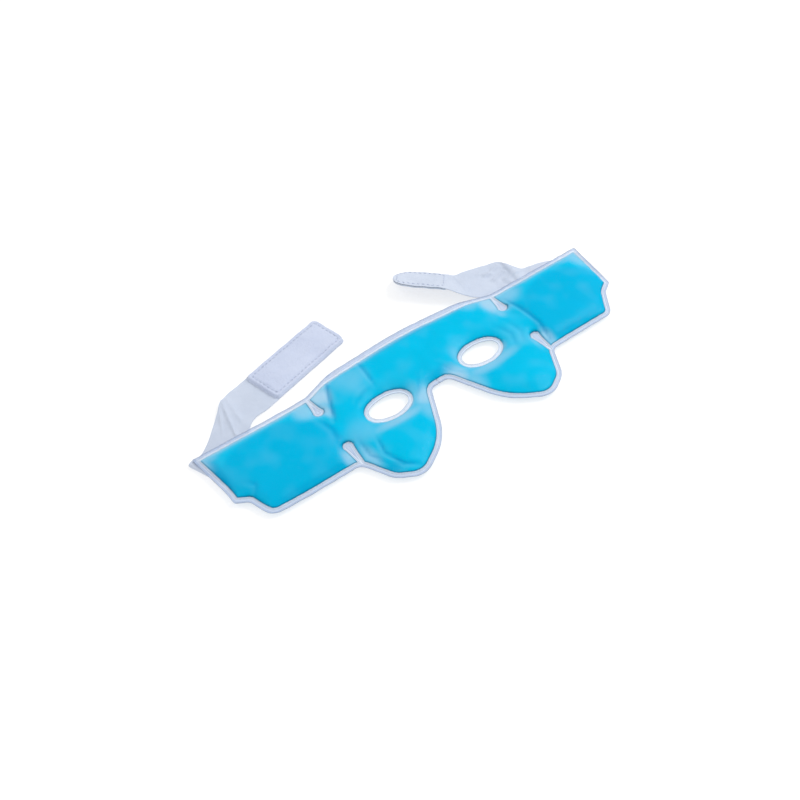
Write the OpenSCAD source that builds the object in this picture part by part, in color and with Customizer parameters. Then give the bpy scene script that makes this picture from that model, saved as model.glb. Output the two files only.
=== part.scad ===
// Gel eye pillow with temple panels and two hook-and-loop head straps.
// Lying flat on its face side, with the straps folded back under the panels.
// Millimetres. X runs along the mask, +Y to the forehead, +Z up.
// The origin is on the resting face, in the middle of the bridge between the eye holes.

/* [Pillow] */
// Total thickness of the filled pillow
pillow_t = 9.0; // [8:0.5:12]
// Thickness of each clear film
film_t = 0.4; // [0.3:0.1:0.6]
// Width of the welded rim round the gel
rim_w = 3.0; // [2.5:0.25:4]
// Height of the weld plane above the resting face
weld_z = 3.4; // [3.2:0.1:3.8]

/* [Eye holes] */
// Distance between the middles of the two eye holes
eye_spacing = 65; // [62:1:68]
// Length of an eye hole
eye_l = 26.6; // [24:0.2:28]
// Height of an eye hole
eye_h = 16.4; // [14:0.2:18]

/* [Straps] */
// Width of both straps
strap_w = 24.5; // [22:0.5:26]
// Thickness of the strap cloth
strap_t = 0.8; // [0.6:0.1:0.8]
// Thickness of the stitched loop and hook patches
patch_t = 1.8; // [1.2:0.2:2.4]
// Length of the loop and hook patches
patch_l = 58; // [50:1:62]
// Tilt of the hook end, its near edge raised
hook_tilt = 26; // [10:1:34]

/* [Hidden] */

bridge_y = 12;          // origin above the line through the eye holes
fold_x = 66;            // fold line between the eye part and a temple panel
fold_gap = 0.6;         // each side of a fold line
temple_lift = 1.2;      // a temple panel lies on its strap
arc_step = 18;          // degrees in one side of a rounded corner
film_colour = [0.80, 0.87, 0.93, 0.55];
gel_colour = [0.02, 0.75, 0.93];
strap_colour = [0.83, 0.86, 0.93];
patch_colour = [0.80, 0.84, 0.94];
thread_colour = [0.93, 0.94, 0.97];

// Each step of the pillow's domed face: distance in from the rim's edge, share of the rise.
front_steps = [[0, 0.42], [2.2, 0.78], [5.5, 1]];
back_steps = [[0, 0.5], [2.6, 1]];

// Corners of the outlines, counter-clockwise: [x, y, corner radius].
// y is measured from the line through the eye holes.
eye_right = [[6.2, -4.8, 5], [21.5, -36.3, 40], [44, -49.6, 13], [58.5, -41.5, 14],
             [fold_x - fold_gap, -26, 1], [fold_x - fold_gap, 30.9, 1], [46, 37.6, 50]];
eye_outline = concat(eye_right, [[0, 41, 300]], mirrored(eye_right));
temple_outline = [[fold_x + fold_gap, -24.2, 1], [115.8, -23.8, 7], [122.6, -8.6, 4.5],
                  [131.2, -4.6, 1.5], [136, 31.3, 0.8], [fold_x + fold_gap, 30.9, 1]];

// Creases of the straps: middle point and direction of each, with the strap's tip last.
left_fold = [-132.5, 14.2];
left_fold_a = 112.5;
left_bend = [-105.5, 46.5];
left_bend_a = 100;
left_tip = [-24.5, 67];
right_fold = [133.3, 15.3];
right_fold_a = 83;
right_bend = [92.5, 33];
right_bend_a = 90;
right_twist = [59, 49.8];
right_twist_a = 78;
right_tip = [31, 75.8];
crease_gap = 0.4;       // each side of a crease
tab_z = weld_z - film_t - strap_t;
strap_z = 0.1;          // underside of a strap that lies on the table
stitch_w = 0.9;
stitch_inset = 2.6;
stitch_t = 0.3;

function mirrored(corners) =
    [for (i = [len(corners) - 1:-1:0]) [-corners[i].x, corners[i].y, corners[i][2]]];
function unit(v) = v / norm(v);
function flat(corner) = [corner.x, corner.y];
function direction(a) = [cos(a), sin(a)];
function heading(a, b) = atan2(b.y - a.y, b.x - a.x);
function left_of(a, b) = let (u = unit(b - a)) [-u.y, u.x];

// The same outline moved in by d on every side.
function inset(corners, d) = let (n = len(corners)) [
    for (i = [0:n - 1])
        let (p = flat(corners[i]),
             a = flat(corners[(i + n - 1) % n]),
             b = flat(corners[(i + 1) % n]),
             n1 = left_of(a, p),
             n2 = left_of(p, b),
             q = p + (n1 + n2) * d / (1 + n1 * n2),
             bulges = cross(p - a, b - p) > 0,
             r = corners[i][2] + (bulges ? -d : d))
        [q.x, q.y, max(r, 0.3)]];

// Points of one rounded corner between its neighbours a and b.
function corner_arc(a, p, b, r) =
    let (u = unit(a - p),
         w = unit(b - p),
         half = acos(u * w) / 2,
         centre = p + unit(u + w) * r / sin(half),
         start = heading(centre, p + u * r / tan(half)),
         turn = (cross(p - a, b - p) > 0 ? 1 : -1) * (180 - 2 * half),
         steps = max(1, ceil(abs(turn) / arc_step)))
    [for (k = [0:steps]) centre + r * direction(start + turn * k / steps)];

function rounded(corners) = let (n = len(corners)) [
    for (i = [0:n - 1])
        each corner_arc(flat(corners[(i + n - 1) % n]), flat(corners[i]),
                        flat(corners[(i + 1) % n]), corners[i][2])];

module eye_hole_pair(grow) {
    for (side = [-1, 1])
        translate([side * eye_spacing / 2, -1])
            polygon([for (a = [0:15:345])
                [(eye_l / 2 + grow) * cos(a), (eye_h / 2 + grow) * sin(a)]]);
}

// Plan of a panel, moved in by d; the eye part also has its holes grown by d.
module plan(corners, d, holes) {
    difference() {
        polygon(rounded(inset(corners, d)));
        if (holes)
            eye_hole_pair(d * 0.7);
    }
}

// Domed solid on one side of the weld plane; rise is positive for the front.
module dome(corners, holes, steps, rise, skin) {
    for (s = steps)
        translate([0, 0, min(0, rise * s[1])])
            linear_extrude(abs(rise * s[1]))
                plan(corners, rim_w + s[0] + skin, holes);
}

module film(corners, holes, steps, rise) {
    side = sign(rise);
    translate([0, -bridge_y, weld_z])
        difference() {
            union() {
                translate([0, 0, min(0, side * film_t)])
                    linear_extrude(film_t)
                        plan(corners, 0, holes);
                dome(corners, holes, steps, rise, 0);
            }
            dome(corners, holes, steps, rise - side * film_t, film_t);
        }
}

module gel(corners, holes, front_rise, back_rise) {
    translate([0, -bridge_y, weld_z])
        union() {
            dome(corners, holes, front_steps, front_rise - film_t, film_t);
            dome(corners, holes, back_steps, -(back_rise - film_t), film_t);
        }
}

// Corner of a strap where a crease through p at angle a meets the strap's edge.
function strap_corner(p, strap_a, crease_a, side) =
    p + direction(crease_a) * side * strap_w / 2 / sin(crease_a - strap_a);

// A flat length of strap from p to q, cut along the crease at each end.
module strap_length(p, q, p_crease, q_crease, start_gap, end_gap) {
    a = heading(p, q);
    p1 = p + direction(a) * start_gap;
    q1 = q - direction(a) * end_gap;
    polygon([strap_corner(p1, a, p_crease, -1), strap_corner(q1, a, q_crease, -1),
             strap_corner(q1, a, q_crease, 1), strap_corner(p1, a, p_crease, 1)]);
}

// Outline round a patch of length l that ends before the origin, corners rounded.
module patch_plan(l, w, d) {
    corners = [[-l, -w / 2, 3], [0, -w / 2, 3], [0, w / 2, 3], [-l, w / 2, 3]];
    polygon(rounded(inset(corners, d)));
}

module stitch_ring(l) {
    difference() {
        patch_plan(l, strap_w, stitch_inset);
        patch_plan(l, strap_w, stitch_inset + stitch_w);
    }
}

// Puts children, drawn along +X up to a tip at the origin, on the end of a strap.
module on_tip(p, q) {
    translate([q.x, q.y - bridge_y, 0])
        rotate(heading(p, q))
            children();
}

module lying(z, t) {
    translate([0, -bridge_y, z])
        linear_extrude(t)
            children();
}

module eye_front_film() {
    color(film_colour)
        film(eye_outline, true, front_steps, pillow_t - weld_z);
}

module eye_back_film() {
    color(film_colour)
        film(eye_outline, true, back_steps, -weld_z);
}

module eye_gel() {
    color(gel_colour)
        gel(eye_outline, true, pillow_t - weld_z, weld_z);
}

module temple_front_film() {
    color(film_colour)
        film(temple_outline, false, front_steps, pillow_t - weld_z);
}

module temple_back_film() {
    color(film_colour)
        film(temple_outline, false, back_steps, -(weld_z - temple_lift));
}

module temple_gel() {
    color(gel_colour)
        gel(temple_outline, false, pillow_t - weld_z, weld_z - temple_lift);
}

module left_temple_front_film() {
    mirror([1, 0, 0])
        temple_front_film();
}

module left_temple_back_film() {
    mirror([1, 0, 0])
        temple_back_film();
}

module left_temple_gel() {
    mirror([1, 0, 0])
        temple_gel();
}

module right_temple_front_film() {
    temple_front_film();
}

module right_temple_back_film() {
    temple_back_film();
}

module right_temple_gel() {
    temple_gel();
}

// The welded tab: the strap's first bit, held under the rim at the panel's end.
module strap_tab(fold, fold_a, inward) {
    along = direction(fold_a);
    low = fold + along * 2 + [inward * crease_gap, 0];
    high = fold + along * (strap_w / 2 - 0.5) + [inward * crease_gap, 0];
    color(strap_colour)
        lying(tab_z, strap_t)
            polygon([low, high, high + [inward * 1.6, 0], low + [inward * 1.6, 0]]);
}

module left_strap_tab() {
    strap_tab(left_fold, left_fold_a, 1);
}

module left_strap_near() {
    color(strap_colour)
        lying(strap_z, strap_t)
            strap_length(left_fold, left_bend, left_fold_a, left_bend_a, crease_gap, crease_gap);
}

module left_strap_end() {
    color(strap_colour)
        lying(strap_z, strap_t)
            strap_length(left_bend, left_tip, left_bend_a, heading(left_bend, left_tip) + 90,
                         crease_gap, 0);
}

module left_loop_patch() {
    color(patch_colour)
        on_tip(left_bend, left_tip)
            translate([0, 0, strap_z + strap_t])
                linear_extrude(patch_t)
                    patch_plan(patch_l, strap_w, 0);
}

module left_loop_stitching() {
    color(thread_colour)
        on_tip(left_bend, left_tip)
            translate([0, 0, strap_z + strap_t + patch_t])
                linear_extrude(stitch_t)
                    stitch_ring(patch_l);
}

module right_strap_tab() {
    strap_tab(right_fold, right_fold_a, -1);
}

module right_strap_near() {
    color(strap_colour)
        lying(strap_z, strap_t)
            strap_length(right_fold, right_bend, right_fold_a, right_bend_a,
                         crease_gap, crease_gap);
}

module right_strap_middle() {
    color(strap_colour)
        lying(strap_z, strap_t)
            strap_length(right_bend, right_twist, right_bend_a, right_twist_a,
                         crease_gap, crease_gap);
}

// Frame of the tilted hook end: x along it to the tip at 0, its far edge low.
module on_hook_end() {
    far_edge_z = strap_z + patch_t;
    on_tip(right_twist, right_tip)
        translate([0, -strap_w / 2, far_edge_z])
            rotate([hook_tilt, 0, 0])
                translate([0, strap_w / 2, 0])
                    children();
}

module right_strap_end() {
    color(strap_colour)
        on_hook_end()
            linear_extrude(strap_t)
                patch_plan(norm(right_tip - right_twist) - 6, strap_w, 0);
}

module right_hook_patch() {
    color(patch_colour)
        on_hook_end()
            translate([0, 0, -patch_t])
                linear_extrude(patch_t)
                    patch_plan(norm(right_tip - right_twist) - 8, strap_w, 0.5);
}

module right_hook_stitching() {
    color(thread_colour)
        on_hook_end()
            translate([0, 0, strap_t])
                linear_extrude(stitch_t)
                    stitch_ring(norm(right_tip - right_twist) - 7);
}

eye_front_film();
eye_back_film();
eye_gel();
left_temple_front_film();
left_temple_back_film();
left_temple_gel();
right_temple_front_film();
right_temple_back_film();
right_temple_gel();
left_strap_tab();
left_strap_near();
left_strap_end();
left_loop_patch();
left_loop_stitching();
right_strap_tab();
right_strap_near();
right_strap_middle();
right_strap_end();
right_hook_patch();
right_hook_stitching();
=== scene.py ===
"""A gel eye pillow: inflated clear film over blue gel, with two cloth head straps folded behind it.

Sizes are in millimetres until mesh_object() turns them into metres. X runs along the mask, Y up
the forehead, measured from the line through the eye holes, and Z out of the front face.
"""

import math

import bpy
import numpy as np
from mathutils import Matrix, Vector, geometry, noise


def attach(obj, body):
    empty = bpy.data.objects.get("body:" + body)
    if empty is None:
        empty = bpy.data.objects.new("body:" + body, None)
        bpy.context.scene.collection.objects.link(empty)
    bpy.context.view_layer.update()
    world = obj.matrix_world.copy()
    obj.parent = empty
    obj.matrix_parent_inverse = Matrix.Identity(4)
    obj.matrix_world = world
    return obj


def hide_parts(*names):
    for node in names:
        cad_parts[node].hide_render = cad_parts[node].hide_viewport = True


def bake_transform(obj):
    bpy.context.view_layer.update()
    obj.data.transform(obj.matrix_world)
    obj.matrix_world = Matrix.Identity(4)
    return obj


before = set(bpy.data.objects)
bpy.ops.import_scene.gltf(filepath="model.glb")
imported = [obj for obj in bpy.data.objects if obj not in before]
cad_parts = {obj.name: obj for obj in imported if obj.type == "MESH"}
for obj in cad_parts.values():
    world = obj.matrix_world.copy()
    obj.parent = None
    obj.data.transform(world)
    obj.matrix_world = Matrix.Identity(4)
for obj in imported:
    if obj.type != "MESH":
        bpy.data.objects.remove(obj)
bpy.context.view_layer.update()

MM = 0.001
BRIDGE_Y = 12.0  # the frame's origin above the line through the eye holes
WELD_Z = 3.4  # the weld plane above the face the pillow rests on
RIM = 3.0  # width of the welded rim
FOLD_X = 66.0  # the line between a top and a bottom dart
FRONT_RISE = 4.7  # how far the gel bulges in front of the weld plane
BACK_RISE = 4.2  # and behind it, before the table flattens it
TEMPLE_LIFT = 1.2  # a temple panel lies on its strap
COARSE, FINE = 1.4, 0.5  # distance between mesh points in the gel and near a weld
NEAR_WELD = 1.5  # how far into the gel the close points reach
EDGE_GAP = 0.35  # no inner mesh point lies nearer to a cut edge
POINT_CELL = 0.3  # one mesh point at most in a square of this size
SKIN_SWEEPS = 260  # rounds in which the stretched skin settles
SKIN_FULL = 85.0  # height of the skin, before scaling, where the gel is at about two thirds
GEL_INSET = 0.12  # gel surface below the film's
GEL_CREEP = 0.55  # how far a little gel creeps into the weld
STRAP_W = 24.5
STRAP_T = 0.7
ACROSS = 30  # mesh faces across a strap
STRAP_Z = 0.5  # middle of a strap that lies on the table
UNDER_PANEL_Z = 0.75  # highest middle of a strap where a panel lies on it
TAB_Z = 2.6  # middle of the tab under the rim
PATCH_L = 58.0
PATCH_T = 2.2
PATCH_CORNER = 3.0
PATCH_MESH = 0.55  # distance between a patch's mesh points
STITCH_INSET = 2.6
HOOK_TILT = 21.0  # degrees, the hook end's near edge raised

# Corners of the right half of the outline, counter-clockwise: x, y, corner radius.
RIGHT_HALF = [
    (6.2, -4.8, 5), (21.5, -36.3, 40), (44, -49.6, 13), (58.5, -41.5, 14), (67.5, -23.9, 5),
    (115.8, -23.8, 7), (124.2, -9.0, 6), (131.2, -4.6, 1.8), (136, 31.3, 0.8),
    (66, 30.8, 8), (46, 37.6, 50),
]
TOP_MIDDLE = (0, 41, 300)
EYE_MIDDLE = np.array([32.5, -1.0])
EYE_HALF = np.array([12.4, 7.0])
EYE_RIM = 2.6
# Each dart is a weld that narrows from a round end to the mask's edge: x, y, radius at both ends.
DARTS = [((65.6, 18.5, 3.3), (66.0, 32.0, 1.1)), ((66.0, -10.6, 3.2), (66.4, -26.0, 1.5))]

# Soft creases in the front: the points each follows, its depth and its half width.
# The gel is painted darker on the right of the line as it runs, as painted shade, and paler on the
# left, as a painted highlight.
CREASES = [
    ([(-63, 7), (-57, 21), (-51, 34)], 1.2, 1.5),
    ([(-31.5, 14), (-30, 26), (-28.5, 37)], 0.8, 1.3),
    ([(-43, -43), (-50, -38), (-54.5, -27), (-52, -16)], 0.9, 1.2),
    ([(-57, -32), (-61, -22), (-60, -11)], 0.8, 1.2),
    ([(70, -19), (72.5, -6), (71.5, 8), (70, 22)], 1.0, 1.2),
    ([(-70, -7), (-68, 2), (-70, 13)], 0.5, 2.0),
    ([(7, 5), (12, -3), (18, -9)], 0.5, 1.5),
    ([(-7, 5), (-12, -3), (-19, -8)], 0.5, 1.5),
    ([(50, -12), (54, -2), (50, 8)], 0.4, 1.8),
    ([(56, -11), (60, -4), (58, 6)], 0.35, 1.6),
    ([(-121, -9), (-118, -4), (-122, 1)], 0.5, 1.3),
    ([(-46, 10), (-40, 14), (-33, 15)], 0.45, 1.6),
]
# Places where the gel is pushed thin and looks pale: x, y, half sizes, share of colour lost.
PALE = [
    (-59.5, 27, 6.5, 8, 0.98), (-62.5, 17, 3, 7, 0.75), (-72.5, 23, 7, 8, 0.62),
    (60.5, 25, 6, 9.5, 1.0), (60.5, 15, 3, 5, 0.4), (74, 24, 8, 7, 0.5),
    (-12, -8, 8, 6.5, 0.8), (10.5, -7.5, 7, 7, 0.9), (-41, 27, 11, 11, 0.25),
    (-70.6, -17.5, 3.2, 6.5, 0.85), (70.6, -16.5, 3, 6.5, 0.75), (-61, -24, 3.5, 9, 0.5),
    (-33, -12.5, 17, 3.6, 0.6), (33, -12, 17, 4.2, 0.6), (62, -14, 2.5, 6, 0.35),
    (131, 24, 8, 12, 0.55), (124, 27, 12, 5, 0.4), (-131, 27, 8, 4, 0.55), (-55, -8, 8, 8, 0.25),
    (56, -6, 8, 9, 0.15), (-16, -16, 6, 9, 0.35), (15, -17, 6, 9, 0.4), (52, 31, 9, 5, 0.4),
    (19, 1, 4, 8, 0.35), (-15, -2, 4, 6, 0.3),
]
# Places where the gel lies thick and looks deep, and bands along the lower edges and the left end
# that are painted shade: the same five numbers.
DEEP_AND_SHADE = [
    (-130, 8, 3.5, 17, 0.9), (-121, -4, 5, 5, 0.35), (-95, -19, 30, 2.2, 0.6),
    (95, -18, 28, 2, 0.6), (0, 33, 26, 2.2, 0.45), (-25, 2, 8, 4, 0.3), (3, 0, 10, 3, 0.35),
    (120, -10, 8, 8, 0.3), (-70, 0, 4, 10, 0.35), (74, 0, 4, 16, 0.3), (-57, -37, 6, 4, 0.5),
]
# The deeper oval in each temple panel: x, y, half sizes.
PANEL_OVALS = [(-101, -3, 36, 27), (101, -5, 31, 27)]

# Corners that have slipped a little sideways: x, y, reach, shift in x and in y.
SLIPS = [(-117, -21, 13, -4.0, 0.9), (-131, -5, 6, -0.8, 0), (115, -20, 13, -1.6, 0)]

GEL_BLUE = (0.0, 0.56, 0.81)
GEL_DEEP = (0.0, 0.39, 0.68)
GEL_PALE = (0.44, 0.68, 0.84)
# Painted shade: the dark line along the gel's edge.
GEL_EDGE_SHADE = (0.0, 0.20, 0.38)
RIM_COLOUR = (0.64, 0.73, 0.87)
# Painted highlight: the light lines beside the gel's edge and in the rim.
RIM_HIGHLIGHT = (0.86, 0.93, 1.0)
# Weld lines in the rim, and painted shade on rim edges that face the chin or the left.
RIM_LINE_AND_SHADE = (0.28, 0.39, 0.64)


# ---- outlines and distances


def unit(v):
    return v / np.linalg.norm(v)


def lengths(vectors):
    return np.linalg.norm(vectors, axis=-1)


def run_along(points):
    """Distance travelled along a line of points, at each of them."""
    return np.concatenate([[0], np.cumsum(lengths(np.diff(points, axis=0)))])


def rounded(corners, step=1.0):
    """The closed outline with every corner rounded, as points about step apart."""
    points = []
    for i, (x, y, r) in enumerate(corners):
        p = np.array([x, y], float)
        a = np.array(corners[i - 1][:2], float)
        b = np.array(corners[(i + 1) % len(corners)][:2], float)
        u, w = unit(a - p), unit(b - p)
        half = math.acos(np.clip(u @ w, -1, 1)) / 2
        middle = p + unit(u + w) * r / math.sin(half)
        start = p + u * r / math.tan(half) - middle
        turn = (math.pi - 2 * half) * np.sign(np.cross(p - a, b - p))
        count = max(2, int(abs(turn) * r / step))
        first = math.atan2(start[1], start[0])
        for k in range(count + 1):
            angle = first + turn * k / count
            points.append(middle + r * np.array([math.cos(angle), math.sin(angle)]))
    return even(np.array(points), step)


def even(loop, step):
    """A closed loop resampled at even distances."""
    closed = np.vstack([loop, loop[:1]])
    run = run_along(closed)
    count = int(run[-1] / step)
    at = np.linspace(0, run[-1], count, endpoint=False)
    return np.stack([np.interp(at, run, closed[:, k]) for k in range(2)], 1)


def mirrored(corners):
    return [(-x, y, r) for x, y, r in reversed(corners)]


def from_segment(points, a, b):
    """(share of the way from a to b nearest to each point, the way from there to the point)."""
    ab = b - a
    t = np.clip((points - a) @ ab / max(ab @ ab, 1e-12), 0, 1)
    return t, points - a - t[:, None] * ab


def beside(points, line):
    """Distance of each point from a polyline, positive on the right of it."""
    best, side = np.full(len(points), np.inf), np.ones(len(points))
    for a, b in zip(line[:-1], line[1:]):
        _, gap = from_segment(points, a, b)
        far = lengths(gap)
        nearer = far < best
        turn = gap[:, 0] * (b - a)[1] - gap[:, 1] * (b - a)[0]
        best = np.where(nearer, far, best)
        side = np.where(nearer, np.sign(turn), side)
    return best * side


def distance_to(points, line):
    """Distance of each point from a polyline."""
    best = np.full(len(points), np.inf)
    for a, b in zip(line[:-1], line[1:]):
        _, gap = from_segment(points, a, b)
        best = np.minimum(best, np.einsum("ij,ij->i", gap, gap))
    return np.sqrt(best)


def is_inside(points, loop):
    """Even-odd test of each point against a closed loop."""
    inside = np.zeros(len(points), bool)
    x, y = points[:, 0], points[:, 1]
    for (x0, y0), (x1, y1) in zip(loop, np.roll(loop, -1, axis=0)):
        if y0 != y1:
            crosses = ((y0 > y) != (y1 > y)) & (x < (x1 - x0) * (y - y0) / (y1 - y0) + x0)
            inside ^= crosses
    return inside


def smoothstep(t):
    t = np.clip(t, 0, 1)
    return t * t * (3 - 2 * t)


OUTLINE = rounded(RIGHT_HALF + [TOP_MIDDLE] + mirrored(RIGHT_HALF))


def eye_loop(side, grow=0.0):
    angles = np.linspace(0, 2 * math.pi, 84, endpoint=False)
    half = EYE_HALF + grow
    x = side * EYE_MIDDLE[0] + half[0] * np.cos(angles)
    flatter_top = 1 - 0.06 * (np.sin(angles) > 0) * np.sin(angles) ** 2
    y = EYE_MIDDLE[1] + half[1] * np.sin(angles) * flatter_top
    return np.stack([x, y], 1)


def inside_outline(points):
    """Distance inside the mask's edge, negative outside it."""
    gap = distance_to(points, np.vstack([OUTLINE, OUTLINE[:1]]))
    return np.where(is_inside(points, OUTLINE), gap, -gap)


def outside_eyes(points):
    """Distance outside the nearer eye hole, negative in it."""
    best = np.full(len(points), np.inf)
    for side in (-1, 1):
        loop = eye_loop(side)
        gap = distance_to(points, np.vstack([loop, loop[:1]]))
        best = np.minimum(best, np.where(is_inside(points, loop), -gap, gap))
    return best


def outside_darts(points):
    best = np.full(len(points), np.inf)
    for side in (-1, 1):
        for (ax, ay, ar), (bx, by, br) in DARTS:
            ends = np.array([(side * ax, ay), (side * bx, by)])
            t, gap = from_segment(points, *ends)
            best = np.minimum(best, lengths(gap) - (ar + (br - ar) * t ** 0.6))
    return best


def rim_width(points):
    """The rim is wider along the forehead."""
    x, y = np.abs(points[:, 0]), points[:, 1]
    return RIM + 1.5 * smoothstep((y - 28) / 6) * (1 - smoothstep((x - 42) / 14))


def gel_distance(points):
    """Distance into the gel from the nearest weld; negative in the rim, an eye's ring or a dart."""
    return np.minimum(
        np.minimum(inside_outline(points) - rim_width(points), outside_eyes(points) - EYE_RIM),
        outside_darts(points),
    )


def slope_of(field, points, reach=0.05):
    """Which way a field of points grows, as unit vectors."""
    slope = np.stack([
        field(points + [reach, 0]) - field(points - [reach, 0]),
        field(points + [0, reach]) - field(points - [0, reach]),
    ], 1) / (2 * reach)
    return slope / np.maximum(lengths(slope), 0.5)[:, None]


def ripple(points, size, seed):
    """Smooth noise of about -1 to 1, with lumps of the given size."""
    return np.array([noise.noise(Vector((x / size, y / size, seed))) for x, y in points]) * 1.6


# ---- the pillow's plan and heights


def hex_grid(spacing):
    rows = np.arange(-50, 42, spacing * 0.866)
    columns = np.arange(-137, 137, spacing)
    return np.array([
        (x + (spacing / 2 if k % 2 else 0), y) for k, y in enumerate(rows) for x in columns
    ])


def snapped(points, spacing):
    """Points near a weld moved on to lines that run along it."""
    w = gel_distance(points)
    slope = slope_of(gel_distance, points)
    return points + (np.round(w / spacing) * spacing - w)[:, None] * slope


def plan_points(grid):
    """Points inside the outline, close together near the welds and wider apart in the gel."""
    coarse, fine = hex_grid(COARSE), hex_grid(FINE)
    coarse = coarse[sampled(grid, coarse) > NEAR_WELD]
    fine_w = sampled(grid, fine)
    fine = snapped(fine[(fine_w < NEAR_WELD) & (fine_w > -RIM - 2)], FINE)
    points = np.vstack([coarse, fine])
    keep = np.minimum(inside_outline(points), outside_eyes(points)) > EDGE_GAP
    points = points[keep]
    cells = np.round(points / POINT_CELL).astype(int)
    _, first = np.unique(cells, axis=0, return_index=True)
    return points[np.sort(first)]


def plan_mesh(grid):
    """(points, triangles) of the mask's plan, with its edge, eye holes and middle line exact."""
    loops = [OUTLINE, eye_loop(-1), eye_loop(1)]
    inner = plan_points(grid)
    seam_y = np.arange(-3.6, 40.0, 0.9)
    seam = np.stack([np.zeros(len(seam_y)), seam_y], 1)
    inner = inner[abs(inner[:, 0]) > 0.4]
    points, edges = [], []
    for loop in loops:
        first = len(points)
        points += [Vector(p) for p in loop]
        edges += [(first + k, first + (k + 1) % len(loop)) for k in range(len(loop))]
    points += [Vector(p) for p in np.vstack([seam, inner])]
    made = geometry.delaunay_2d_cdt(points, edges, [], 0, 1e-4)
    at = np.array([tuple(p) for p in made[0]])
    faces = np.array([f for f in made[2] if len(f) == 3])
    middle = at[faces].mean(1)
    faces = faces[(inside_outline(middle) > 0) & (outside_eyes(middle) > 0)]
    return at, faces


def weld_grid():
    """(xs, ys, distance into the gel) on a 1 mm grid over the mask."""
    xs, ys = np.arange(-138, 139, 1.0), np.arange(-51, 43, 1.0)
    gx, gy = np.meshgrid(xs, ys)
    return xs, ys, gel_distance(np.stack([gx.ravel(), gy.ravel()], 1)).reshape(gx.shape)


def membrane(grid):
    """Height of a stretched skin blown up over the gel's plan, on the same grid."""
    xs, ys, w = grid
    open_cell = w > 0
    u = np.zeros_like(w)
    odd = (np.add.outer(np.arange(len(ys)), np.arange(len(xs))) % 2).astype(bool)
    over = 1.9
    for _ in range(SKIN_SWEEPS):
        for turn in (open_cell & odd, open_cell & ~odd):
            near = np.zeros_like(u)
            near[1:-1, 1:-1] = u[:-2, 1:-1] + u[2:, 1:-1] + u[1:-1, :-2] + u[1:-1, 2:]
            u = np.where(turn, u + over * ((near + 1.0) / 4 - u), u)
    return xs, ys, np.maximum(u, 0)


def sampled(grid, points):
    """Value of a grid at each point, between its cells."""
    xs, ys, u = grid
    fx = np.clip(points[:, 0] - xs[0], 0, len(xs) - 1.001)
    fy = np.clip(points[:, 1] - ys[0], 0, len(ys) - 1.001)
    i, j = fx.astype(int), fy.astype(int)
    tx, ty = fx - i, fy - j
    low = u[j, i] * (1 - tx) + u[j, i + 1] * tx
    high = u[j + 1, i] * (1 - tx) + u[j + 1, i + 1] * tx
    return low * (1 - ty) + high * ty


def blobs(points, places):
    """The strongest of several soft oval spots at each point."""
    x, y = points.T
    best = np.zeros(len(x))
    for cx, cy, rx, ry, share in places:
        spot = share * np.exp(-(((x - cx) / rx) ** 2 + ((y - cy) / ry) ** 2) ** 1.5)
        best = np.maximum(best, spot)
    return best


def mixed(colour, other, share):
    """Rows of colour moved towards another by each row's share."""
    return colour + np.clip(share, 0, 1)[:, None] * (np.array(other) - colour)


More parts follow.
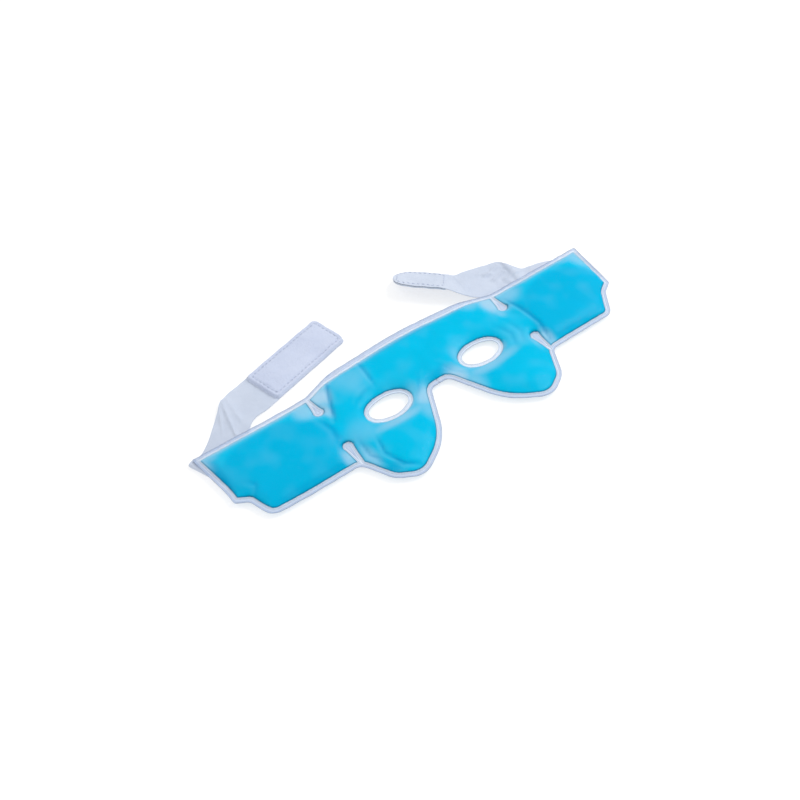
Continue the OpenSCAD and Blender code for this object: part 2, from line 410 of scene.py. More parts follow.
class Pillow:
    """The plan of the mask with the heights and colours of its films and gel."""

    def __init__(self):
        grid = weld_grid()
        self.plan, self.faces = plan_mesh(grid)
        self.w = gel_distance(self.plan)
        self.outward = -slope_of(gel_distance, self.plan, 0.3)
        self.edge_in = inside_outline(self.plan) - rim_width(self.plan)
        self.pale = self.paleness()
        u = np.where(self.w > 0, sampled(membrane(grid), self.plan), 0)
        self.fill = (1 - np.exp(-u / SKIN_FULL)) ** 0.95 * (1 - 0.55 * self.pale)
        self.weld_z = WELD_Z + self.sway()
        self.front = self.weld_z + self.front_height()
        self.back = np.maximum(self.weld_z - self.back_height(), self.floor())
        self.gel_tint = self.gel_colour()
        self.film_tint = self.film_colour()
        self.plan = self.plan + self.slip()

    def slip(self):
        """How far each point has slid out of the flat pattern."""
        moved = np.zeros_like(self.plan)
        for x, y, reach, dx, dy in SLIPS:
            gap = lengths(self.plan - (x, y)) / reach
            moved += np.exp(-gap ** 2)[:, None] * np.array([dx, dy])
        return moved * smoothstep((np.abs(self.plan[:, :1]) - 30) / 30)

    def sway(self):
        """Slow rise and fall of the whole weld plane, with small puckers along its edge."""
        slow = 0.35 * ripple(self.plan, 38, 3.1)
        edge = np.exp(-np.maximum(self.w + 1.5, 0) / 2.5)
        puckers = (0.2 * ripple(self.plan, 4.6, 8.2) + 0.09 * ripple(self.plan, 2.1, 1.4)) * edge
        near_seam = smoothstep(np.abs(self.plan[:, 0]) / 4)
        return slow + puckers * near_seam

    def crease_share(self, line, half, shift):
        """1 on a line that runs shift to the right of a crease, fading out at both ends."""
        line = np.array(line, float)
        ends = np.minimum(lengths(self.plan - line[0]), lengths(self.plan - line[-1]))
        gap = beside(self.plan, line) - shift
        return np.exp(-((gap / half) ** 2)) * smoothstep(0.3 + ends / 9)

    def crease_depth(self):
        return sum(deep * self.crease_share(line, half, 0) for line, deep, half in CREASES)

    def dart_valley(self):
        """The film dips along the fold line between two darts."""
        across = (np.abs(self.plan[:, 0]) - FOLD_X) / 6.5
        return np.exp(-across ** 2)

    def front_height(self):
        bulge = FRONT_RISE * self.fill * (1 - 0.2 * self.dart_valley())
        lumps = 0.3 * ripple(self.plan, 17, 5.5) + 0.15 * ripple(self.plan, 7.5, 2.5)
        inside = smoothstep(self.w / 5)
        bead = 0.28 * np.exp(-(((self.w + 1.7) / 0.45) ** 2)) * self.from_eyes()
        groove = 0.12 * np.exp(-(((self.w + 0.45) / 0.4) ** 2))
        return 0.4 + bulge + (lumps - 0.6 * self.crease_depth()) * inside + bead - groove

    def from_eyes(self):
        """1 on the outer rim and 0 round the eye holes, whose ring has no bead."""
        return smoothstep((outside_eyes(self.plan) - 1.5) / 1.5)

    def back_height(self):
        return 0.4 + BACK_RISE * self.fill * (1 - 0.3 * self.dart_valley())

    def floor(self):
        """The pillow lies flat on the table, and its temple panels on the straps."""
        across = smoothstep((np.abs(self.plan[:, 0]) - FOLD_X + 4) / 14)
        return 0.06 + TEMPLE_LIFT * across

    def paleness(self):
        """Share of its colour that the gel loses where it is squeezed thin, and a painted highlight
        along its edges that face up in the lower half.
        """
        upper = smoothstep((self.plan[:, 1] - 14) / 12)
        fade = 0.9 * np.exp(-((np.maximum(self.edge_in, 0) / 2.3) ** 1.5)) * upper
        facing_up = smoothstep(self.outward[:, 1] * 1.4)
        # Painted highlight along the gel's edges that face up in the lower half.
        edge_highlight = 0.7 * np.exp(-np.maximum(self.w, 0) / 1.6) * facing_up * (1 - upper)
        spots = blobs(self.plan, PALE) + 0.06 * ripple(self.plan, 9, 7.7)
        return np.clip(np.maximum(np.maximum(spots, fade), edge_highlight), 0, 1)

    def painted_shade_side(self):
        """1 where the gel's edge faces the chin, the left or a dart, and so looks steep: the share of
        painted shade on the edge lines.
        """
        x, y = self.outward.T
        near_dart = np.exp(-np.maximum(outside_darts(self.plan), 0) / 1.5)
        return np.maximum(smoothstep(0.45 - 0.8 * y - 0.25 * x), 0.8 * near_dart)

    def ring(self, distance, half):
        """1 on the line that runs at a distance from the weld's inner edge."""
        return np.exp(-(((self.w - distance) / half) ** 2))

    def gel_colour(self):
        """Colour of the gel at each point: deeper where it is thick, pale where it is squeezed, with
        painted shade and painted highlights at creases and along its edges.
        """
        x, y = self.plan.T
        deep = blobs(self.plan, DEEP_AND_SHADE) + 0.1 * ripple(self.plan, 26, 4.4)
        for cx, cy, rx, ry in PANEL_OVALS:
            out = np.sqrt(((x - cx) / rx) ** 2 + ((y - cy) / ry) ** 2)
            deep = np.maximum(deep, 0.36 * smoothstep((1.06 - out) * 9))
        pale = self.pale
        # Painted shade on the right of each crease and a painted highlight on its left.
        for line, depth, half in CREASES:
            deep = deep + 0.95 * depth * self.crease_share(line, half * 0.6, half * 0.5)
            pale = pale + 0.14 * depth * self.crease_share(line, half * 0.8, -half * 0.9)
        pale = pale * (1 - 0.5 * np.clip(deep, 0, 1))
        colour = mixed(np.tile(GEL_BLUE, (len(x), 1)), GEL_DEEP, deep)
        colour = mixed(colour, GEL_PALE, pale)
        # A painted highlight where the gel creeps into the weld.
        colour = mixed(colour, RIM_HIGHLIGHT, smoothstep(-self.w / 0.5))
        # Painted shade: a dark line along the gel's edge, strongest on edges that face the chin or
        # the left.
        return mixed(colour, GEL_EDGE_SHADE, self.ring(0, 0.3) * (0.35 + 0.65 * self.painted_shade_side()))

    def film_colour(self):
        """Colour of the clear film: the gel's where it lies on gel, lines and bands in a weld; some
        lines are painted highlights, and painted shade darkens edges that face the chin or the left.
        """
        rim = np.tile(RIM_COLOUR, (len(self.plan), 1))
        outer = self.from_eyes()
        rim = mixed(rim, RIM_LINE_AND_SHADE, 0.7 * (self.ring(-2, 0.35) + self.ring(-3.5, 0.35)) * outer)
        # Painted shade on the rim's inner line where it faces the chin or the left.
        rim = mixed(rim, RIM_LINE_AND_SHADE, 0.5 * self.ring(-1, 0.3) * self.painted_shade_side())
        rim = mixed(rim, RIM_LINE_AND_SHADE, 0.6 * np.exp(-inside_outline(self.plan) / 0.3))
        # Painted highlight lines in the rim.
        rim = mixed(rim, RIM_HIGHLIGHT, np.maximum(self.ring(-0.5, 0.3), 0.7 * self.ring(-1.5, 0.3)))
        colour = rim + smoothstep(self.w / 0.5)[:, None] * (self.gel_tint - rim)
        # The same painted shade line along the gel's edge, seen through the film.
        return mixed(colour, GEL_EDGE_SHADE, self.ring(0, 0.3) * (0.35 + 0.65 * self.painted_shade_side()))


# ---- making objects


def mesh_object(name, points, faces, material, colours=None):
    """A smooth object from points in millimetres, moved into the frame and into metres."""
    at = (np.asarray(points, float) - [0, BRIDGE_Y, 0]) * MM
    mesh = bpy.data.meshes.new(name)
    mesh.from_pydata([tuple(p) for p in at], [], [tuple(int(i) for i in f) for f in faces])
    mesh.polygons.foreach_set("use_smooth", [True] * len(mesh.polygons))
    if colours is not None:
        layer = mesh.color_attributes.new("tint", "FLOAT_COLOR", "POINT")
        rgba = np.hstack([colours, np.ones((len(colours), 1))])
        layer.data.foreach_set("color", rgba.astype(np.float32).ravel())
    mesh.materials.append(material)
    mesh.validate()
    obj = bpy.data.objects.new(name, mesh)
    bpy.context.scene.collection.objects.link(obj)
    return obj


def boundary(faces):
    """The one-sided edges of a set of faces, each in the direction its face runs."""
    edges = {}
    for face in faces:
        for a, b in zip(face, np.roll(face, -1)):
            edges[(int(a), int(b))] = True
    return [(a, b) for a, b in edges if (b, a) not in edges]


def slab_faces(top, shift):
    """A closed body's faces: the top ones, the same ones turned over shift points on, and walls."""
    top = [tuple(f) for f in top]
    low = [tuple(i + shift for i in reversed(f)) for f in top]
    return top + low + [(b, a, a + shift, b + shift) for a, b in boundary(top)]


def compact(points, faces, *others):
    """The points that the faces use, and the faces renumbered."""
    used = np.unique(faces)
    number = np.full(len(points), -1)
    number[used] = np.arange(len(used))
    return (points[used], number[faces]) + tuple(o[used] for o in others)


def vertex_normals(points, faces):
    a, b, c = (points[faces[:, k]] for k in range(3))
    flat = np.cross(b - a, c - a)
    normals = np.zeros_like(points)
    for k in range(3):
        np.add.at(normals, faces[:, k], flat)
    return normals / np.maximum(lengths(normals), 1e-12)[:, None]


def set_normals(obj, normals):
    """Shading that runs on across the seam between two halves of one sheet."""
    obj.data.normals_split_custom_set_from_vertices([tuple(n) for n in normals])


def half_of(pillow, side):
    """The faces of the plan on one side of the mask's middle line."""
    middle = pillow.plan[pillow.faces].mean(1)[:, 0]
    return pillow.faces[middle * side > 0]


def film_half(pillow, side, name, height, facing, material):
    """Half of one film, with the cut edge of the rim and of the eye hole down to the weld."""
    points = np.column_stack([pillow.plan, height])
    normals = vertex_normals(points, pillow.faces) * facing
    weld = np.column_stack([pillow.plan, pillow.weld_z])
    at, faces, normals, tint, weld = compact(
        points, half_of(pillow, side), normals, pillow.film_tint, weld
    )
    cut = [edge for edge in boundary(faces) if abs(at[list(edge), 0]).max() >= 0.01]
    rim = list(dict.fromkeys(i for edge in cut for i in edge))
    low = {i: len(at) + k for k, i in enumerate(rim)}
    every = [list(f) for f in faces] + [[b, a, low[a], low[b]] for a, b in cut]
    if facing < 0:
        every = [f[::-1] for f in every]
    tint = np.vstack([tint, tint[rim]])
    obj = mesh_object(name, np.vstack([at, weld[rim]]), every, material, tint)
    set_normals(obj, np.vstack([normals, normals[rim]]))
    return obj


def gel_half(pillow, side, name, material):
    """Half of the gel: a closed body between the films that thins to nothing at the welds."""
    squeeze = np.maximum(pillow.front - pillow.back, 0.3)
    inset = np.minimum(GEL_INSET, squeeze * 0.2)
    top = np.column_stack([pillow.plan, pillow.front - inset])
    low = np.column_stack([pillow.plan, pillow.back + inset])
    all_faces, faces = (
        f[(pillow.w[f] > -GEL_CREEP).all(1)] for f in (pillow.faces, half_of(pillow, side))
    )
    normals = [vertex_normals(top, all_faces), -vertex_normals(low, all_faces)]
    top, up, low, tint, *normals = compact(top, faces, low, pillow.gel_tint, *normals)
    faces = slab_faces(up, len(top))
    obj = mesh_object(name, np.vstack([top, low]), faces, material, np.vstack([tint, tint]))
    set_normals(obj, np.vstack(normals))
    return obj


# ---- straps


def direction(degrees):
    return np.array([math.cos(math.radians(degrees)), math.sin(math.radians(degrees))])


def row(x, y, z, cross, heading, tilt=0.0):
    """One line across a strap: its middle, and the vector from there to its +v edge.

    cross is the line's direction in plan, heading the strap's; tilt lowers the +v edge.
    """
    half = STRAP_W / 2 / abs(math.sin(math.radians(cross - heading)))
    flat = direction(cross) * half * math.cos(math.radians(tilt))
    return np.array([x, y, z, flat[0], flat[1], -half * math.sin(math.radians(tilt))])


def span(upper, lower, z, drop=0.0):
    """One line across a strap given by its two ends; drop lowers the upper end, lifts the lower."""
    upper, lower = np.array(upper, float), np.array(lower, float)
    return np.array([*(upper + lower) / 2, z, *(upper - lower) / 2, -drop])


def fold_rows(middle, crease, start_heading, end_heading, outward):
    """The tab, then the half turn of the strap's fold at a panel's end."""
    radius = (TAB_Z - STRAP_Z) / 2
    rows = [row(*(middle - outward * d), TAB_Z, crease, start_heading) for d in (3.2, 1.6, 0)]
    for turn in range(15, 180, 15):
        a = math.radians(turn)
        at = middle + outward * radius * math.sin(a)
        z = STRAP_Z + radius * (1 + math.cos(a))
        rows.append(row(*at, z, crease, start_heading if turn < 90 else end_heading))
    rows.append(row(*middle, STRAP_Z, crease, end_heading))
    return rows


def smooth_rows(rows, step=1.1):
    """Rows about step apart on a smooth curve through the given ones."""
    rows = np.array(rows)
    run = run_along(rows[:, :3])
    tangents = np.gradient(rows, run, axis=0)
    out = []
    for k in range(len(rows) - 1):
        length = run[k + 1] - run[k]
        count = max(1, round(length / step))
        for j in range(count):
            t = j / count
            h = [2 * t ** 3 - 3 * t ** 2 + 1, t ** 3 - 2 * t ** 2 + t,
                 -2 * t ** 3 + 3 * t ** 2, t ** 3 - t ** 2]
            out.append(h[0] * rows[k] + h[1] * length * tangents[k]
                       + h[2] * rows[k + 1] + h[3] * length * tangents[k + 1])
    out.append(rows[-1])
    return np.array(out)


def round_tip(rows, radius=3.5):
    """Rounds the two corners at the strap's free end."""
    run = run_along(rows[:, :3])
    left = run[-1] - run
    cut = radius - np.sqrt(np.maximum(radius ** 2 - np.maximum(radius - left, 0) ** 2, 0))
    half = lengths(rows[:, 3:])
    rows[:, 3:] *= ((half - cut) / half)[:, None]
    return rows


def surface_of(rows):
    """(points, normals), rows by columns, on the middle surface of a strap."""
    v = np.linspace(-1, 1, ACROSS + 1)
    at = rows[:, None, :3] + v[None, :, None] * rows[:, None, 3:]
    along = np.gradient(at, axis=0)
    across = np.gradient(at, axis=1)
    normal = np.cross(along, across)
    return at, normal / np.maximum(lengths(normal), 1e-9)[:, :, None]


def strap_layers(at, normal):
    """(points, vertex normals) of the whole strap's two faces, each rows by columns by 3."""
    v = np.abs(np.linspace(-1, 1, ACROSS + 1))
    half = STRAP_T / 2 * np.sqrt(1 - 0.75 * smoothstep((v - 0.94) / 0.06) ** 2)
    layers = []
    for side in (1, -1):
        face = at + side * normal * half[None, :, None]
        up = np.cross(np.gradient(face, axis=0), np.gradient(face, axis=1))
        up /= np.maximum(lengths(up), 1e-9)[:, :, None]
        up *= np.sign(np.einsum("ijk,ijk->ij", up, normal) * side)[:, :, None]
        layers.append((face, up))
    return layers


def strap_mesh(name, at, normal, first, last, facing, material):
    """Closed thin cloth from row first to row last, with a rounded selvedge."""
    layers = [(f[first:last + 1], n[first:last + 1]) for f, n in strap_layers(at, normal)]
    points = np.vstack([f.reshape(-1, 3) for f, _ in layers])
    normals = np.vstack([n.reshape(-1, 3) for _, n in layers])
    wide = ACROSS + 1
    corners = [i * wide + j for i in range(last - first) for j in range(ACROSS)]
    faces = slab_faces([(a, a + wide, a + wide + 1, a + 1) for a in corners], len(points) // 2)
    if facing < 0:
        faces = [f[::-1] for f in faces]
    obj = mesh_object(name, points, faces, material)
    set_normals(obj, normals)
    return obj


def lateral_noise(at, size, seed):
    flat = at.reshape(-1, 3)[:, :2]
    return ripple(flat, size, seed).reshape(at.shape[:2])


def ridges(at, lines):
    """Sharp raised creases across a strap: each has its two ends, height and half width."""
    flat = at.reshape(-1, 3)[:, :2]
    lift = np.zeros(len(flat))
    for start, end, height, half in lines:
        gap = distance_to(flat, np.array([start, end], float)) / half
        lift += height * np.exp(-np.abs(gap) ** 1.4)
    return lift.reshape(at.shape[:2])


def pressed_flat(at, fold_x):
    """A strap kept above the table, and pressed flat where a panel lies on it past its fold."""
    flat = at.reshape(-1, 3)[:, :2]
    past_fold = smoothstep((abs(fold_x) - np.abs(flat[:, 0]) - 4) / 4)
    under = smoothstep(inside_outline(flat) / 3) * past_fold
    z = at[:, :, 2]
    low = np.minimum(z, UNDER_PANEL_Z)
    z = z + under.reshape(z.shape) * (low - z)
    return np.dstack([at[:, :, :2], np.maximum(z, STRAP_T / 2 + 0.03)])


def hem_grooves(depth=0.12, inset=2.0, half=0.45):
    """Pressed lines along both long edges."""
    v = np.abs(np.linspace(-STRAP_W / 2, STRAP_W / 2, ACROSS + 1))
    return -depth * np.exp(-(((v - STRAP_W / 2 + inset) / half) ** 2))


def resample_rows(at, count):
    """The same surface with count rows."""
    old = np.linspace(0, 1, len(at))
    new = np.linspace(0, 1, count)
    return np.stack([
        np.stack([np.interp(new, old, at[:, j, k]) for k in range(3)], 1)
        for j in range(at.shape[1])
    ], 1)


def resampled(at, length):
    """A stretch of strap with its rows and columns as close together as a patch needs."""
    at = resample_rows(at, int(length / PATCH_MESH)).transpose(1, 0, 2)
    return resample_rows(at, int(STRAP_W / PATCH_MESH)).transpose(1, 0, 2)


def patch_mesh(name, at, normal, side, thick, material, pile):
    """A closed slab on one face of a strap (side 1 above, -1 below) with a rounded, sewn edge."""
    rows, columns = len(at), at.shape[1]
    length = np.linalg.norm(at[-1, columns // 2] - at[0, columns // 2])
    i = np.minimum(np.arange(rows), np.arange(rows)[::-1])[:, None] * length / (rows - 1)
    j = np.minimum(np.arange(columns), np.arange(columns)[::-1])[None, :]
    j = j * STRAP_W / (columns - 1)
    edge = np.minimum(i, j)
    radius = PATCH_CORNER
    corner = radius - np.hypot(np.maximum(radius - i, 0), np.maximum(radius - j, 0))
    edge = np.where((i < radius) & (j < radius), np.maximum(corner, 0), edge)
    crown = np.sqrt(1 - (1 - np.clip(edge / 1.5, 0, 1)) ** 2)
    seam = 0.5 * np.exp(-(((edge - STITCH_INSET) / 0.7) ** 2))
    height = STRAP_T / 2 + thick * crown - seam * min(1, thick)
    height = height + pile * lateral_noise(at, 0.9, 6.0) * smoothstep(edge / 2)
    top = at + side * normal * np.maximum(height, STRAP_T / 2)[:, :, None]
    top[:, :, 2] = np.maximum(top[:, :, 2], 0.03)
    low = at + side * normal * STRAP_T / 2
    points = np.vstack([top.reshape(-1, 3), low.reshape(-1, 3)])
    faces = []
    for r in range(rows - 1):
        for c in range(columns - 1):
            if edge[r:r + 2, c:c + 2].max() > 0:
                a = r * columns + c
                faces.append((a, a + columns, a + columns + 1, a + 1))
    every = slab_faces(faces, rows * columns)
    if side < 0:
        every = [f[::-1] for f in every]
    return mesh_object(name, *compact(points, np.array(every)), material), top


def sample_surface(at, r, c):
    """A point between the rows and columns of a surface, r and c from 0 to 1."""
    rows, columns = at.shape[:2]
    fr, fc = r * (rows - 1), c * (columns - 1)
    i, j = min(int(fr), rows - 2), min(int(fc), columns - 2)
    tr, tc = fr - i, fc - j
    return ((at[i, j] * (1 - tc) + at[i, j + 1] * tc) * (1 - tr)
            + (at[i + 1, j] * (1 - tc) + at[i + 1, j + 1] * tc) * tr)


def stitches(name, surface, normal_up, length, material):
    """A ring of thread stitches sewn into a patch, each a short arched strand."""
    near, end, side = STITCH_INSET, length - STITCH_INSET, STRAP_W - STITCH_INSET
    radius, step, pitch = 2.2, 0.25, 2.9
    ring = rounded([(near, near, radius), (end, near, radius),
                    (end, side, radius), (near, side, radius)], step)
    around = len(ring) * step
    count = int(around / pitch)
    points, faces = [], []
    sides, rings = 6, 7
    for k in range(count):
        for q in range(rings):
            s = (k + 0.12 + 0.76 * q / (rings - 1)) * around / count
            p = ring[int(s / step) % len(ring)]
            p2 = ring[int(s / step + 2) % len(ring)]
            here = sample_surface(surface, p[0] / length, p[1] / STRAP_W)
            ahead = sample_surface(surface, p2[0] / length, p2[1] / STRAP_W)
            along = unit(ahead - here)
            across = unit(np.cross(normal_up, along))
            arch = math.sin(math.pi * q / (rings - 1))
            thread = 0.26 * (0.45 + 0.55 * arch)
            centre = here + normal_up * (0.30 * arch - 0.12)
            for m in range(sides):
                a = 2 * math.pi * m / sides
                points.append(centre + thread * (math.cos(a) * across + math.sin(a) * normal_up))
        base = k * sides * rings
        for q in range(rings - 1):
            for m in range(sides):
                a, b = base + q * sides + m, base + q * sides + (m + 1) % sides
                faces.append((a, b, b + sides, a + sides))
        faces.append(tuple(base + m for m in reversed(range(sides))))
        faces.append(tuple(base + (rings - 1) * sides + m for m in range(sides)))
    return mesh_object(name, points, faces, material)


# ---- materials


def new_material(name):
    """(material, its tree, its shader)."""
    material = bpy.data.materials.new(name)
    material.use_nodes = True
    tree = material.node_tree
    return material, tree, tree.nodes["Principled BSDF"]


def set_inputs(node, **values):
    """Sets a node's sockets by name."""
    for socket, value in values.items():
        node.inputs[socket.replace("_", " ")].default_value = value


def add_node(tree, kind, **values):
    node = tree.nodes.new(f"ShaderNode{kind}")
    set_inputs(node, **values)
    return node


def texture(tree, kind, **values):
    """A texture in the object's own coordinates."""
    node = add_node(tree, f"Tex{kind}", **values)
    where = add_node(tree, "TexCoord")
    tree.links.new(where.outputs["Object"], node.inputs["Vector"])
    return node


def colour_mix(tree, factor, low, high):
    """Colour between low and high by a factor socket."""
    ramp = add_node(tree, "ValToRGB")
    ramp.color_ramp.elements[0].color = (*low, 1)
    ramp.color_ramp.elements[1].color = (*high, 1)
    tree.links.new(factor, ramp.inputs["Fac"])
    return ramp


def add_bump(tree, shader, height, strength, distance, below=None):
    bump = add_node(tree, "Bump", Strength=strength, Distance=distance)
    tree.links.new(height, bump.inputs["Height"])
    if below:
        tree.links.new(below.outputs["Normal"], bump.inputs["Normal"])
    tree.links.new(bump.outputs["Normal"], shader.inputs["Normal"])
    return bump


def tinted_colour(tree, factor, low, high):
    """The mesh's own tint, made a little darker or lighter by a factor socket."""
    tint = add_node(tree, "Attribute")
    tint.attribute_name = "tint"
    value = add_node(tree, "MapRange", To_Min=low, To_Max=high)
    tree.links.new(factor, value.inputs["Value"])
    hue = add_node(tree, "HueSaturation")
    tree.links.new(value.outputs["Result"], hue.inputs["Value"])
    tree.links.new(tint.outputs["Color"], hue.inputs["Color"])
    return hue


def gel_material():
    """Translucent blue gel, cloudy and smooth."""
    material, tree, shader = new_material("gel")
    cloud = texture(tree, "Noise", Scale=70, Detail=3, Roughness=0.5)
    tinted = tinted_colour(tree, cloud.outputs["Fac"], 0.94, 1.06)
    tree.links.new(tinted.outputs["Color"], shader.inputs["Base Color"])
    set_inputs(shader, Roughness=0.35, Specular_IOR_Level=0.0, Subsurface_Weight=0.12,
               Subsurface_Radius=(0.1, 0.8, 1.0), Subsurface_Scale=0.003)
    swell = texture(tree, "Noise", Scale=160, Detail=2, Roughness=0.45)
    add_bump(tree, shader, swell.outputs["Fac"], 0.15, 0.0006)
    return material


def film_material(name, alpha):
    """Clear vinyl: glossy, faintly hazy, with a fine pressed grain."""
    material, tree, shader = new_material(name)
    haze = texture(tree, "Noise", Scale=150, Detail=4, Roughness=0.6)
    tinted = tinted_colour(tree, haze.outputs["Fac"], 0.93, 1.05)
    tree.links.new(tinted.outputs["Color"], shader.inputs["Base Color"])
    set_inputs(shader, Roughness=0.28, IOR=1.45, Specular_IOR_Level=0.16,
               Coat_Weight=0.07, Coat_Roughness=0.1, Alpha=alpha)
    grain = texture(tree, "Noise", Scale=420, Detail=3, Roughness=0.55)
    add_bump(tree, shader, grain.outputs["Fac"], 0.2, 0.0004)
    return material


def cloth_material(name, light, dark, threads, bump, fuzz=0.0):
    """Woven cloth: crossed threads, soft sheen and uneven colour; fuzz adds a brushed pile."""
    material, tree, shader = new_material(name)
    crossed = add_node(tree, "Math")
    crossed.operation = "MULTIPLY"
    for axis, socket in zip(("X", "Y"), crossed.inputs):
        wave = texture(tree, "Wave", Scale=threads, Distortion=0.8, Detail=1)
        wave.bands_direction = axis
        tree.links.new(wave.outputs["Fac"], socket)
    pile = texture(tree, "Noise", Scale=900, Detail=6, Roughness=0.75)
    stain = texture(tree, "Noise", Scale=45, Detail=4, Roughness=0.6)
    blend = add_node(tree, "Math")
    blend.operation = "MULTIPLY_ADD"
    tree.links.new(crossed.outputs["Value"], blend.inputs[0])
    blend.inputs[1].default_value = 0.35
    tree.links.new(stain.outputs["Fac"], blend.inputs[2])
    # The weave's height lightens the threads and darkens the gaps between them, as painted shade; the
    # stain noise is uneven colour of the cloth.
    ramp = colour_mix(tree, blend.outputs["Value"], dark, light)
    ramp.color_ramp.elements[0].position = 0.3
    ramp.color_ramp.elements[1].position = 0.75
    tree.links.new(ramp.outputs["Color"], shader.inputs["Base Color"])
    set_inputs(shader, Roughness=0.85, Specular_IOR_Level=0.2,
               Sheen_Weight=0.25 + fuzz * 0.4, Sheen_Roughness=0.5)
    first = add_bump(tree, shader, crossed.outputs["Value"], bump, 0.00025)
    add_bump(tree, shader, pile.outputs["Fac"], 0.25 + fuzz * 0.5, 0.0004, below=first)
    return material


def hook_material(name, light, dark):
    """Moulded hooks: rows of small raised dots on a ribbed back."""
    material, tree, shader = new_material(name)
    dots = texture(tree, "Voronoi", Scale=850, Randomness=0.15)
    # The dots' tops are coloured lighter and the hollows between them darker: painted shade.
    ramp = colour_mix(tree, dots.outputs["Distance"], light, dark)
    tree.links.new(ramp.outputs["Color"], shader.inputs["Base Color"])
    set_inputs(shader, Roughness=0.55)
    add_bump(tree, shader, dots.outputs["Distance"], 0.7, -0.0006)
    return material


# ---- the scene


def build_mask(materials):
    """Films and gel: each is one sheet in life, cut on the middle line into a left and a right half.
    """
    pillow = Pillow()
    halves = {-1: ("left", "left_temple"), 1: ("right", "right_temple")}
    for side, (word, temple) in halves.items():
        front = film_half(pillow, side, f"{word}_front_film", pillow.front, 1, materials["film"])
        back = film_half(pillow, side, f"{word}_back_film", pillow.back, -1, materials["back"])
        gel = gel_half(pillow, side, f"{word}_gel", materials["gel"])
        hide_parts("eye_front_film", f"{temple}_front_film")
        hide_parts("eye_back_film", f"{temple}_back_film")
        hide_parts("eye_gel", f"{temple}_gel")
        for piece, slot in ((front, "clear_film"), (back, "clear_film"), (gel, "gel")):
            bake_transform(piece)


def nearest_row(rows, point):
    return int(np.argmin(lengths(rows[:, :2] - np.array(point)) + rows[:, 2] * 3))


def frame_point(x, y, z):
    return (x * MM, (y - BRIDGE_Y) * MM, z * MM)


def left_strap_shape(fold, bend, near_way):
    """(rows, points, normals): folded under its panel, creased, then straight."""
    tip, far_way = np.array([-24.5, 67.0]), 14.2
    rows = fold_rows(fold, 112.5, 180, near_way, direction(202.5))
    rows += [
        span((-130.8, 33.2), (-121.2, 12.6), STRAP_Z),
        span((-123.2, 38.4), (-113.6, 17.4), STRAP_Z),
        span((-114.0, 47.4), (-106.9, 24.5), STRAP_Z + 0.3),
        span((-108.6, 52.4), (-102.5, 29.9), STRAP_Z + 1.1, -0.6),
        span((-104.4, 56.8), (-98.9, 34.0), STRAP_Z + 1.6, -0.4),
        span((-99.6, 60.0), (-94.6, 36.8), STRAP_Z + 0.9),
    ]
    for share, z in ((0.22, 0.5), (0.45, 0.35), (0.7, 0.3), (0.88, 0.2), (1.0, 0.1)):
        rows.append(row(*(bend + (tip - bend) * share), STRAP_Z + z, 90 + far_way, far_way))
    rows = round_tip(smooth_rows(rows))
    at, normal = surface_of(rows)
    beyond = smoothstep((rows[:, 0] - bend[0] + 12) / 10)[:, None] * (rows[:, 2] < 2.4)[:, None]
    wrinkles = 0.28 * lateral_noise(at, 9, 2.0) + 0.12 * lateral_noise(at, 3.2, 5.0)
    creases = ridges(at, [
        ((-103.0, 59.0), (-108.6, 33.0), 1.0, 0.9), ((-105.0, 57.0), (-114.5, 37.0), 0.6, 0.9),
        ((-100.0, 58.0), (-101.5, 40.0), 0.5, 0.8),
    ])
    at = at + normal * ((wrinkles + creases) * beyond + hem_grooves()[None, :])[:, :, None]
    return rows, pressed_flat(at, fold[0]), normal


def build_left_strap(materials):
    fold, bend, near_way = np.array([-132.5, 19.0]), np.array([-104.8, 46.2]), 43.5
    rows, at, normal = left_strap_shape(fold, bend, near_way)
    split = nearest_row(rows, fold + direction(near_way) * 20)
    near = strap_mesh("left_strap_fold", at, normal, 0, split, 1, materials["cloth"])
    end = strap_mesh("left_strap", at, normal, split, len(rows) - 1, 1, materials["cloth"])
    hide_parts("left_strap_tab", "left_strap_near")
    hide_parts("left_strap_end", "left_strap_near")
    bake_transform(near)
    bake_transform(end)
    build_patch(materials, "left_loop", "left_strap_tip", rows, at, normal, 1, PATCH_L, PATCH_T,
                materials["loop"], 0.10)
    return near, end


def build_patch(materials, name, body, rows, at, normal, side, length, thick, material, pile):
    """A patch and its stitching on the last stretch of a strap."""
    run = run_along(rows[:, :3])
    first = int(np.argmin(abs(run - (run[-1] - length))))
    fine, up = resampled(at[first:], length), resampled(normal[first:], length)
    up /= lengths(up)[:, :, None]
    patch, top = patch_mesh(f"{name}_tape", fine, up, side, thick, material, pile)
    stitched = top if side > 0 else fine + up * STRAP_T / 2
    thread = stitches(f"{name}_thread", stitched, unit(up.mean((0, 1))), length,
                      materials["thread"])
    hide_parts(f"{name}_patch")
    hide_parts(f"{name}_stitching")
    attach(patch, body)
    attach(thread, body)


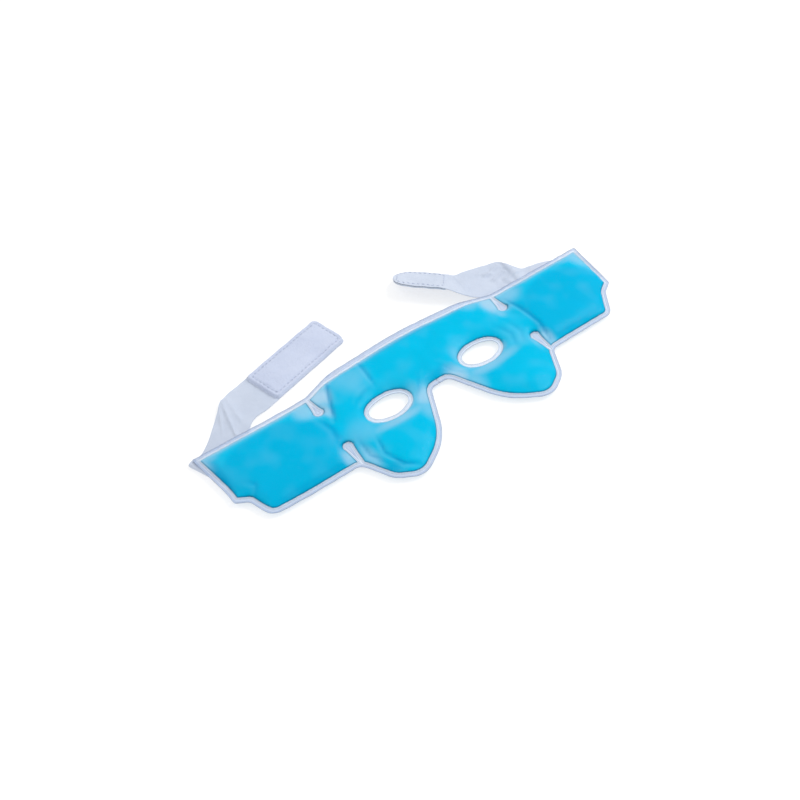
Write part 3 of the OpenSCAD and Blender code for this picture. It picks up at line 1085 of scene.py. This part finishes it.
def right_strap_shape(fold):
    """(rows, points, normals): folded under its panel, crumpled, then twisted up on one edge."""
    rows = fold_rows(fold, 83, 0, 166, direction(-7))
    rows += [
        span((122.8, 31.4), (120.6, 8.0), STRAP_Z),
        span((113.4, 35.4), (110.4, 12.0), STRAP_Z + 0.1),
        span((105.2, 37.2), (102.6, 14.6), STRAP_Z + 0.4),
        span((98.6, 38.4), (96.8, 17.2), STRAP_Z + 0.9),
        span((94.4, 41.2), (93.2, 20.2), STRAP_Z + 2.3, -0.5),
        span((91.6, 45.8), (89.6, 23.8), STRAP_Z + 2.9, -0.8),
        span((90.0, 50.6), (86.2, 27.4), STRAP_Z + 1.8, -0.4),
        span((84.6, 53.2), (81.6, 30.0), STRAP_Z + 0.8),
        row(74.0, 44.0, STRAP_Z + 0.5, 79, 166),
        row(63.5, 46.6, STRAP_Z + 1.0, 74, 162, 4),
        row(57.6, 48.6, STRAP_Z + 3.0, 62, 146, 15),
        row(52.4, 53.0, STRAP_Z + 5.3, 50, 138, HOOK_TILT + 2),
        row(42.8, 62.3, STRAP_Z + 5.6, 48.5, 138, HOOK_TILT + 2),
        row(34.4, 69.9, STRAP_Z + 5.6, 48.5, 139, HOOK_TILT + 4),
        row(27.8, 75.5, STRAP_Z + 5.8, 48.5, 139, HOOK_TILT + 7),
    ]
    rows = round_tip(smooth_rows(rows), 11.0)
    at, normal = surface_of(rows)
    normal = -normal
    crumple = np.exp(-(((rows[:, 0] - 84) / 11) ** 2))[:, None]
    visible = smoothstep((112 - rows[:, 0]) / 8)[:, None] * (rows[:, 2] < 8)[:, None]
    wrinkles = 0.25 * lateral_noise(at, 8, 4.0) + 0.1 * lateral_noise(at, 3.0, 9.0)
    folds = 0.65 * np.abs(lateral_noise(at, 5.5, 7.0)) * crumple
    creases = ridges(at, [
        ((88.0, 48.0), (76.0, 46.5), 1.1, 0.9), ((87.5, 42.0), (78.0, 41.0), 0.9, 0.8),
        ((81.0, 45.0), (73.0, 50.5), 0.7, 0.8), ((104.0, 34.0), (96.0, 26.0), 0.7, 0.9),
        ((93.5, 36.0), (84.0, 36.5), 0.9, 0.9), ((60.5, 57.0), (58.0, 42.0), 0.7, 1.0),
    ])
    lift = (wrinkles + folds + creases) * visible + hem_grooves()[None, :]
    at = at + np.sign(normal[:, :, 2:3] + 1e-9) * normal * lift[:, :, None]
    return rows, pressed_flat(at, fold[0]), normal


def build_right_strap(materials):
    fold = np.array([133.3, 15.3])
    rows, at, normal = right_strap_shape(fold)
    split = nearest_row(rows, fold + direction(166) * 22)
    second = nearest_row(rows, (75, 43.6))
    last = len(rows) - 1
    near = strap_mesh("right_strap_fold", at, normal, 0, split, -1, materials["cloth"])
    middle = strap_mesh("right_strap_crumple", at, normal, split, second, -1, materials["cloth"])
    end = strap_mesh("right_strap_hook_end", at, normal, second, last, -1, materials["cloth"])
    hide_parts("right_strap_tab", "right_strap_near")
    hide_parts("right_strap_near", "right_strap_middle")
    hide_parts("right_strap_middle", "right_strap_end")
    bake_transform(near)
    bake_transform(middle)
    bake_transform(end)
    build_patch(materials, "right_hook", "right_strap_tip", rows, at, normal, -1, 33.0, 1.2,
                materials["hook"], 0.05)
    return near, middle, end


def area_light(name, place, target, size, power):
    light = bpy.data.lights.new(name, "AREA")
    light.size = size
    light.energy = power
    obj = bpy.data.objects.new(name, light)
    obj.location = place
    obj.rotation_euler = (Vector(target) - Vector(place)).to_track_quat("-Z", "Y").to_euler()
    bpy.context.scene.collection.objects.link(obj)


def build_stage():
    """A softly glowing light table, a white surround and two soft lights."""
    size = 6.0
    corners = [(-size, -size, 0), (size, -size, 0), (size, size, 0), (-size, size, 0)]
    mesh = bpy.data.meshes.new("floor")
    mesh.from_pydata(corners, [], [(0, 1, 2, 3)])
    floor = bpy.data.objects.new("floor", mesh)
    bpy.context.scene.collection.objects.link(floor)
    material, _, shader = new_material("floor")
    set_inputs(shader, Base_Color=(0.5, 0.5, 0.5, 1), Emission_Color=(1, 1, 1, 1),
               Emission_Strength=0.56, Roughness=0.9, Specular_IOR_Level=0.1)
    mesh.materials.append(material)
    world = bpy.data.worlds.new("surround")
    world.use_nodes = True
    set_inputs(world.node_tree.nodes["Background"], Color=(1, 1, 1, 1), Strength=0.70)
    bpy.context.scene.world = world
    bpy.context.scene.view_settings.view_transform = "Standard"
    area_light("key", (0.8, -0.1, 0.95), (0, 0, 0), 0.6, 7.5)
    area_light("fill", (-0.6, 0.5, 1.0), (0, 0, 0), 1.1, 3)


def build_camera():
    azimuth, elevation, distance = math.radians(-37.2), math.radians(50.5), 0.546
    target = Vector(frame_point(-25.1, -1.4, WELD_Z))
    out = Vector((math.sin(azimuth) * math.cos(elevation), -math.cos(azimuth) * math.cos(elevation),
                  math.sin(elevation)))
    camera = bpy.data.cameras.new("camera")
    camera.sensor_width = 36
    camera.lens = 45
    obj = bpy.data.objects.new("camera", camera)
    obj.location = target + out * distance
    obj.rotation_euler = (-out).to_track_quat("-Z", "Y").to_euler()
    bpy.context.scene.collection.objects.link(obj)
    bpy.context.scene.camera = obj


build_camera()
build_stage()
MATERIALS = {
    "gel": gel_material(),
    "film": film_material("front_vinyl", 0.3),
    "back": film_material("back_vinyl", 0.85),
    "cloth": cloth_material("strap_cloth", (0.59, 0.65, 0.77), (0.50, 0.56, 0.68), 900, 0.25),
    "loop": cloth_material("loop_pile", (0.58, 0.64, 0.80), (0.49, 0.55, 0.72), 500, 0.15, 1.0),
    "hook": hook_material("hook_tape", (0.64, 0.69, 0.80), (0.48, 0.53, 0.66)),
    "thread": cloth_material("thread", (0.57, 0.63, 0.78), (0.47, 0.53, 0.69), 2500, 0.4),
}
build_mask(MATERIALS)
build_left_strap(MATERIALS)
build_right_strap(MATERIALS)
